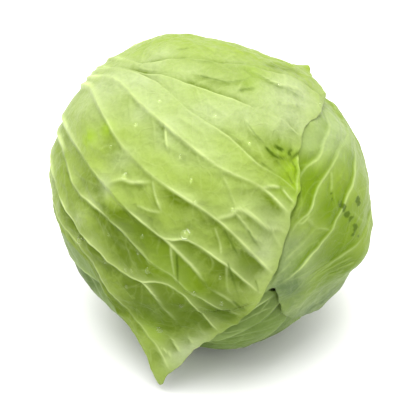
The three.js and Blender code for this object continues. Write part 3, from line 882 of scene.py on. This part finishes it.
FRONT_CREASES = [
    [[81, 30], [85.5, 32.6], [88.6, 36], [90, 39]],
    [[98.6, 46], [102, 49], [108, 53.5], [112, 59.5], [114, 66]],
    [[118, 57], [119, 60.5], [120.5, 64]],
    [[120, 31.4], [124, 31.5], [127, 32], [130, 33]],
    [[135, 27.3], [137.5, 29.3], [140, 31.7]],
    [[93, 30], [100.5, 34.3], [103.6, 40], [102.3, 47.4]],
    [[117, 37.3], [122, 42.7], [125.7, 47], [130.7, 53.5]],
    [[136, 34.4], [140.1, 36.7], [144.1, 39.2], [146.8, 41]],
    [[138.8, 45], [141.4, 43.5], [145.2, 41.9]],
    [[132.9, -35], [134.2, -41.2], [135.5, -50]],
    [[154, -59], [156, -66], [157.4, -76]],
    [[161, -38], [162, -45], [162.8, -55]],
    [[150, -28], [154, -42], [156, -55]],
    [[144, -11], [148, -15], [152, -20]],
    [[150, -2], [154, -5], [158, -8]],
]
# Water drops on this leaf: degrees from the stalk and round the stem, width and length. The skin under a
# drop is painted paler, a painted glint.
DROPS = [
    (102, -17, 4.0, 5.2), (93, 12, 2.4, 2.8), (112, 23, 2.4, 2.6), (93, 0, 2.2, 2.4), (90, -12, 2.0, 2.4),
    (127, 27, 2.2, 2.6), (115, 2, 2.4, 2.8), (124, -2, 2.6, 3.4), (130, -8, 2.2, 2.6), (141, 1, 2.4, 2.8),
    (133, -23, 5.6, 6.4), (119, -33, 2.6, 3.2), (119, -41, 2.4, 3.0), (124, -47, 3.0, 5.0),
    (90, -52, 4.0, 5.0), (92, -50, 2.2, 2.6), (89, -51, 2.0, 2.4), (114, -61, 2.4, 3.0), (114, -52, 2.2, 2.6),
    (117, -51, 2.0, 2.4), (104, -54, 2.4, 2.8), (105, -41, 2.4, 2.8), (136, -64, 2.6, 3.4),
    (141, -52, 3.2, 3.8), (150, -59, 2.6, 3.2), (149, -39, 2.4, 3.0), (124, -81, 4.4, 5.0),
    (108, 55, 2.0, 2.4), (116, 75, 2.0, 2.2),
]
DROP_PAINTED_GLINT = 0.1
DROP_PAINTED_GLINT_WIDTH = 0.3
FRONT_RIB = Vein(rib=(0.8, 0.7), foot=2.2, pleat=1.2, fall=3.2, reach=9, line=0.7, tint=0.75, deep=0.6)
FRONT_MIDDLE_RIB = Vein(rib=(0.7, 0.6), foot=2.0, pleat=0.9, fall=2.8, reach=8, line=0.8, tint=0.65, deep=0.4)
FRONT_UPPER_RIB = Vein(
    rib=(0.5, 0.4), foot=1.8, pleat=-0.6, fall=0.8, reach=2.5, line=0.6, tint=0.3, deep=0.45)
FRONT_FOLD = Vein(rib=(0.6, 0.5), foot=1.8, pleat=0.8, fall=2.5, reach=6, line=0.8, tint=0.5, deep=0.5)
FRONT_SMUDGE = Vein(
    rib=(-0.2, -0.2), foot=1, pleat=0.1, fall=1, reach=2, line=0.9, tint=0, deep=0.3, torn=0.4)
FRONT_FORK = Vein(rib=(0.7, 0.5), foot=1.8, pleat=0.7, fall=2.6, reach=7, line=1.1, tint=0.55, deep=0.35)
FRONT_SIDE_VEIN = Vein(rib=(0.45, 0.3), foot=1.4, pleat=0.5, fall=1.6, reach=4, line=0.7, tint=0.4, deep=0.3)
FRONT_NET_VEIN = Vein(rib=(0.2, 0.15), foot=1.2, pleat=0.2, fall=1.5, reach=4, line=0.7, tint=0.14, deep=0.1)
FRONT_TEAR = Vein(
    rib=(-0.35, -0.35), foot=0.6, pleat=0.2, fall=1.0, reach=3, line=0.8, tint=0, deep=0.2, torn=0.9)
FRONT_TORN_RIB = Vein(rib=(0.6, 0.5), foot=0.9, pleat=0.2, fall=1, reach=2, line=0.6, tint=0.5, deep=0.3)
# Creases: low grooves with a dark line painted along them, painted shade in the crease.
FRONT_CREASE = Vein(
    rib=(-0.3, -0.2), foot=0.8, pleat=0.3, fall=1.2, reach=4, line=0.6, tint=0, deep=0.4, torn=0.5)


def front_paint(directions, share, lined):
    """Pale with bloom at the base, the upper right and the right edge, deep green at the left and low down,
    partly the leaf's own green and partly painted shade, brightest yellow-green by the tear, deep green below
    each vein, partly painted shade, darker spots low down as painted shade, and paler under each water drop
    as a painted glint."""
    pale = [
        (66, 2, 0.6, 13), (82, 16, 0.3, 10), (113, 60, 0.6, 13), (112, 24, 0.35, 8), (97, 12, 0.2, 9),
        (118, 32, 0.2, 6), (128, 42, 0.3, 6), (90, 4, 0.25, 5), (106, 20, 0.2, 6), (97, -13, 0.4, 5),
        (104, 6, 0.4, 6), (116, 6, 0.2, 8), (124, 52, 0.25, 7), (154, 3, 0.2, 12), (128, -98, 0.4, 6),
        (94, -32, 0.2, 5), (88, -44, 0.3, 4), (92, 44, 0.25, 7), (72, 27, 0.2, 8), (90, 30, 0.25, 7),
        (106, 38, 0.25, 8), (119, 41, 0.2, 8), (136, 9, 0.1, 8), (124, -94, 0.2, 4), (131, -94, 0.4, 5),
        (138, -91, 0.3, 4), (96, -25, 0.5, 4), (149, 22, 0.15, 7), (155, 8, 0.2, 7), (160, -14, 0.25, 7),
        (157, -22, 0.2, 5), (75, 16, 0.2, 6), (95, 20, 0.15, 6), (91, 5, 0.15, 6), (125, 13, 0.12, 6),
        (140, 34, 0.12, 4), (72, 27, 0.12, 6),
    ]
    # Deep green spots: partly the leaf's own tone, partly painted shade at the left and low down.
    deep = [
        (109, -33, 0.8, 6), (115, -34, 0.5, 7), (126, -42, 0.7, 13), (100, -58, 0.6, 15), (80, -42, 0.3, 10),
        (122, -71, 1.0, 10), (132, -65, 0.7, 8), (138, -67, 0.7, 12), (151, -70, 0.6, 7), (98, 42, 0.3, 8),
        (150, -32, 0.2, 8), (97, 68, 0.5, 5), (96, 60, 0.4, 4), (129, 37, 0.4, 5), (134, 40, 0.5, 4),
        (141, 37, 0.45, 5), (106, -76, 0.6, 6), (128, -10, 0.2, 7), (137, -15, 0.4, 7), (150, 8, 0.2, 7),
        (120, 50, 0.15, 7), (131, -76, 0.4, 5), (140, -44, 0.4, 7), (147, -15, 0.4, 7), (111, -35, 0.5, 6),
        (118, -30, 0.6, 6), (112, -44, 0.4, 6), (143, -53, 0.7, 7), (137, -42, 0.6, 7), (134, -32, 0.5, 7),
        (156, -29, 0.7, 5), (62, -30, 0.3, 8), (86, -33, 0.25, 6), (100, -33, 0.6, 4), (146, 29, 0.3, 4),
        (138, 14, 0.2, 5),
    ]
    lime = [
        (143, 43, 0.6, 4), (138, 46, 0.35, 4), (149, 41, 0.5, 4), (134, 39, 0.3, 5), (142, 36, 0.3, 5),
        (83, -8, 0.6, 3), (78, -15, 0.6, 3.5), (131, -42, 0.4, 8), (141, -51, 0.3, 6), (121, -82, 0.45, 5),
        (100, 48, 0.3, 5), (106, 42, 0.25, 4), (146, 29, 0.3, 4),
    ]
    # Spots painted darker in the dark olive, mostly low down: painted shade.
    shaded = [
        (128, -69, 0.3, 8), (139, -68, 0.3, 7), (149, -69, 0.5, 6), (118, -73, 0.2, 6), (155, -31, 0.3, 5),
        (113, -35, 0.2, 5), (143, -53, 0.2, 6), (138, -82, 0.3, 5), (134, -31, 0.1, 6), (136, -42, 0.25, 6),
        (128, -35, 0.1, 6), (111, -36, 0.2, 5), (119, -32, 0.2, 5), (132, -85, 0.15, 8), (145, -88, 0.15, 6),
        (152, -78, 0.2, 6), (124, -76, 0.15, 7),
    ]
    # Painted glints: the skin under each drop is painted paler, and less deep.
    painted_glints = [(off, turn, DROP_PAINTED_GLINT, DROP_PAINTED_GLINT_WIDTH * width) for off, turn, width, _ in DROPS]
    return {
        "vein": lined["tint"] + bumps(directions, painted_glints),
        "pale": 0.6 * (1 - smooth(share, 0.1, 0.28)) + bumps(directions, pale),
        "deep": lined["deep"] + bumps(directions, deep) - 2 * bumps(directions, painted_glints),
        "lime": bumps(directions, lime),
        "mark": lined["torn"] + bumps(directions, shaded),
    }


front_material = leaf_material(
    "outer_leaf_skin", (127, 147, 55), (166, 176, 138), (78, 98, 0), (124, 154, 8), (174, 189, 122), 0.16)
right_cover = leaf_cover(RIGHT_VEINS)
front_leaf = lay_leaf(FRONT_VEINS, [back_cover, top_cover, under_cover, right_cover],
                      [FRONT_TIP, FRONT_CORNER, FRONT_SHOULDER], *FRONT_GRID, 69)
front_ribs = [FRONT_UPPER_RIB] * 4 + [FRONT_MIDDLE_RIB] * 2 + [FRONT_RIB] * 4
front_lines = base_lines(front_leaf, BASE_RIB)
front_lines += main_lines(front_leaf, front_ribs, FRONT_STRENGTHS, [RIB_RISE] * 10)
front_lines += traced_lines(
    front_leaf, (FRONT_FOLDS, FRONT_FOLD), (FRONT_SMUDGES, FRONT_SMUDGE), (FRONT_FORKS, FRONT_FORK),
    (FRONT_SIDE_VEINS, FRONT_SIDE_VEIN), (FRONT_TEARS, FRONT_TEAR), (FRONT_TORN_RIBS, FRONT_TORN_RIB),
    (FRONT_CREASES, FRONT_CREASE))
front_lines += cross_lines(front_leaf, FRONT_SIDE_GAP, 11, FRONT_NET_VEIN)
leaf_piece("front_leaf", front_leaf, front_lines, FRONT_FLOOR, FRONT_PILLOW, FRONT_UNEVEN, FRONT_CREASED,
           front_paint, front_material, "leaf_front")

# Water drops: left on the wax of the outer leaf after rinsing, as beads that run a little longer
# downhill. Clear water, each bead a low dome sunk into the leaf's skin.
DROP_HEIGHT = 0.38
DROP_SINK = 0.4
DROP_FULLER = 0.25
DROP_RINGS = 7
DROP_SECTORS = 16
DROP_SPAN = 3


def drop_mesh(leaf):
    """Beads on a leaf: rings of a dome, height * (1 - share^2), fuller downhill, closed below the skin."""
    places = np.array(DROPS)
    rows, columns = nearest_on(leaf, head_direction(places[:, 0], places[:, 1]))
    outer = leaf["outer"]
    rows = np.clip(rows, DROP_SPAN, outer.shape[0] - DROP_SPAN - 1)
    columns = np.clip(columns, DROP_SPAN, outer.shape[1] - DROP_SPAN - 1)
    foot = outer[rows, columns]
    along = outer[rows + DROP_SPAN, columns] - outer[rows - DROP_SPAN, columns]
    normal = np.cross(outer[rows, columns + DROP_SPAN] - outer[rows, columns - DROP_SPAN], along)
    normal /= np.linalg.norm(normal, axis=1, keepdims=True)
    downhill = normal * normal[:, 2:] - np.array([0, 0, 1])
    downhill /= np.linalg.norm(downhill, axis=1, keepdims=True)
    level = np.cross(normal, downhill)
    share = np.append(np.linspace(0.1, 1, DROP_RINGS), 0.9)[:, None]
    turn = np.arange(DROP_SECTORS) * 2 * np.pi / DROP_SECTORS
    height = DROP_HEIGHT * (1 - share**2) * (1 + DROP_FULLER * share * np.cos(turn))
    height[-1] = 0
    sunk = np.zeros_like(height)
    sunk[-1] = 1
    out = share * np.cos(turn), share * np.sin(turn)
    width, length = places[:, 2, None, None], places[:, 3, None, None]
    rings = (length / 2 * out[0])[..., None] * downhill[:, None, None]
    rings = rings + (width / 2 * out[1])[..., None] * level[:, None, None]
    rings = rings + (width * height - DROP_SINK * sunk)[..., None] * normal[:, None, None]
    rings = rings + foot[:, None, None]
    ends = np.stack([foot + DROP_HEIGHT * places[:, 2:3] * normal, foot - DROP_SINK * normal], axis=1)
    count = (DROP_RINGS + 1) * DROP_SECTORS
    points = np.concatenate([rings.reshape(len(places), count, 3), ends], axis=1)
    one = ring_faces(DROP_RINGS + 1, DROP_SECTORS, True)
    faces = [[corner + (count + 2) * drop for corner in face] for drop in range(len(places)) for face in one]
    return points.reshape(-1, 3), faces


water = bpy.data.materials.new("clear_water")
water.use_nodes = True
shader = water.node_tree.nodes["Principled BSDF"]
shader.inputs["Base Color"].default_value = (1, 1, 1, 1)
shader.inputs["Roughness"].default_value = 0.02
shader.inputs["IOR"].default_value = 1.33
shader.inputs["Transmission Weight"].default_value = 1
shadow = water.node_tree.nodes.new("ShaderNodeLightPath").outputs["Is Shadow Ray"]
clear = water.node_tree.nodes.new("ShaderNodeBsdfTransparent").outputs[0]
lit_through = add_node(water.node_tree, "ShaderNodeMixShader", i0=shadow, i1=shader.outputs[0], i2=clear)
water.node_tree.links.new(lit_through.outputs[0], water.node_tree.nodes["Material Output"].inputs["Surface"])
points, faces = drop_mesh(front_leaf)
add_piece("water_drops", points, faces, {}, water, None)

# Cut stalk: the thick stem, cut across behind the head, its face a little hollow and dried. Pale firm
# flesh with a tougher rind, ridged down its side. The leaves are grown onto it.
STALK_RADIUS = 15
STALK_PROUD = 6
STALK_GAP = 1
STALK_SECTORS = 96
STALK_RIDGES = ((0.5, 5, 0), (0.25, 13, 1))
STALK_RINGS = 2.4
STALK_RING = 0.15
STALK_RIND = 2.2


def stalk_mesh(sectors):
    """A profile turned about the stem, with low ridges down its side and rings on the cut face."""
    root = INNER_LENGTH / 2 + STALK_GAP
    end = root + STALK_PROUD + 2 * LAYER_STEP
    corners = np.array([
        [0, root], [STALK_RADIUS, root], [STALK_RADIUS + 0.6, (root + end) / 2],
        [STALK_RADIUS - 0.8, end - 2], [STALK_RADIUS - 2.2, end], [STALK_RADIUS * 0.5, end - 1],
        [0, end - 1.4],
    ])
    places = np.concatenate([np.linspace(0, 1, 4)[:-1], np.linspace(1, 6, 41)])
    part = np.clip(np.floor(places).astype(int), 0, 5)
    profile = corners[part] + (corners[part + 1] - corners[part]) * (places - part)[:, None]
    turn = np.arange(sectors) * 2 * np.pi / sectors
    side = smooth(places, 1, 1.5) * (1 - smooth(places, 3.5, 4.2))
    ridges = sum(height * np.sin(count * turn + start) for height, count, start in STALK_RIDGES)
    radius = profile[1:-1, :1] + side[1:-1, None] * ridges
    ring = STALK_RING * smooth(places, 4, 4.3)[1:-1, None] * np.sin(STALK_RINGS * radius)
    height = np.broadcast_to(profile[1:-1, 1:], radius.shape) + ring
    across = UP_ACROSS * np.cos(turn)[:, None] + SIDE_ACROSS * np.sin(turn)[:, None]
    rings = radius[..., None] * across + height[..., None] * STEM
    ends = profile[[0, -1], 1][:, None] * STEM
    points = np.concatenate([rings.reshape(-1, 3), ends]) + np.array([0, 0, HEAD_LIFT])
    cut = np.broadcast_to(smooth(places, 3.9, 4.3)[1:-1, None], radius.shape)
    rind = np.exp(-(((radius - STALK_RADIUS + 2) / STALK_RIND) ** 2))
    zero = np.zeros(len(points))
    masks = {
        "vein": np.append((cut * (0.5 + 0.5 * np.sin(STALK_RINGS * radius))).ravel() * 0.5, [0, 0]),
        "pale": np.append(cut.ravel(), [0, 1]),
        "deep": np.append((cut * rind).ravel() * 0.6, [0, 0]),
        "lime": zero,
        "mark": np.append((cut * rind).ravel() * 0.25, [0, 0]),
    }
    return points, ring_faces(*radius.shape, False), masks


stalk_material = leaf_material(
    "cut_stalk_flesh", (170, 178, 126), (196, 194, 168), (150, 144, 92), (170, 178, 100), (204, 202, 184),
    0.3)
points, faces, masks = stalk_mesh(STALK_SECTORS)
add_piece("cut_stalk", points, faces, masks, stalk_material, "stalk")

# Floor, light and camera: a plain pale floor that the head lies on, under one broad soft light and a
# white dome, seen from above the front through a long lens.
HEAD_MIDDLE = np.array([0, 0, HEAD_LIFT]) * MM
CAMERA_ELEVATION = np.radians(35)
CAMERA_AWAY = 1.6
FRAME_WIDTH = 0.224
FRAME_RIGHT = -0.0056
FRAME_UP = -0.0039
FLOOR_SIZE = 12.0
DOME_LOW = 0.7
DOME_HIGH = 1.6
KEY_PLACE = (-0.1, -0.12, 1.75)
KEY_SIZE = 1.8
KEY_POWER = 45


def plain_material(name, colour, roughness):
    """A plain matt surface of one colour."""
    material = bpy.data.materials.new(name)
    material.use_nodes = True
    tree = material.node_tree
    shader = tree.nodes["Principled BSDF"]
    shader.inputs["Base Color"].default_value = (*colour, 1)
    shader.inputs["Roughness"].default_value = roughness
    shader.inputs["Specular IOR Level"].default_value = 0.1
    return material


floor_mesh = bpy.data.meshes.new("floor")
half = FLOOR_SIZE / 2
corners = [(-half, -half, 0), (half, -half, 0), (half, half, 0), (-half, half, 0)]
floor_mesh.from_pydata(corners, [], [(0, 1, 2, 3)])
floor_mesh.materials.append(plain_material("pale_floor", (0.93, 0.93, 0.93), 0.9))
floor = bpy.data.objects.new("floor", floor_mesh)
bpy.context.scene.collection.objects.link(floor)


def aim(thing, target):
    """Turns a light or camera so that it looks at a point."""
    way = Vector(target) - thing.location
    thing.rotation_euler = way.to_track_quat("-Z", "Y").to_euler()


def soft_light(name, place, size, power):
    """A square soft light at a place, facing the head."""
    lamp = bpy.data.lights.new(name, "AREA")
    lamp.size = size
    lamp.energy = power
    light = bpy.data.objects.new(name, lamp)
    light.location = place
    aim(light, HEAD_MIDDLE)
    bpy.context.scene.collection.objects.link(light)


soft_light("key_softbox", KEY_PLACE, KEY_SIZE, KEY_POWER)

world = bpy.data.worlds.new("studio_dome")
world.use_nodes = True
tree = world.node_tree
place = tree.nodes.new("ShaderNodeTexCoord").outputs["Generated"]
height = add_node(tree, "ShaderNodeSeparateXYZ", Vector=place)
glow = add_node(tree, "ShaderNodeMapRange", Value=height.outputs["Z"], To_Min=DOME_LOW, To_Max=DOME_HIGH)
tree.nodes["Background"].inputs["Color"].default_value = (1, 1, 1, 1)
tree.links.new(glow.outputs[0], tree.nodes["Background"].inputs["Strength"])
bpy.context.scene.world = world

across = np.array([1, 0, 0])
upward = np.array([0, np.sin(CAMERA_ELEVATION), np.cos(CAMERA_ELEVATION)])
backward = np.array([0, -np.cos(CAMERA_ELEVATION), np.sin(CAMERA_ELEVATION)])
target = HEAD_MIDDLE + FRAME_RIGHT * across + FRAME_UP * upward
lens = bpy.data.cameras.new("camera")
lens.sensor_width = 36
lens.lens = lens.sensor_width * CAMERA_AWAY / FRAME_WIDTH
camera = bpy.data.objects.new("camera", lens)
camera.location = target + CAMERA_AWAY * backward
aim(camera, target)
bpy.context.scene.collection.objects.link(camera)
bpy.context.scene.camera = camera
bpy.context.scene.view_settings.view_transform = "Standard"
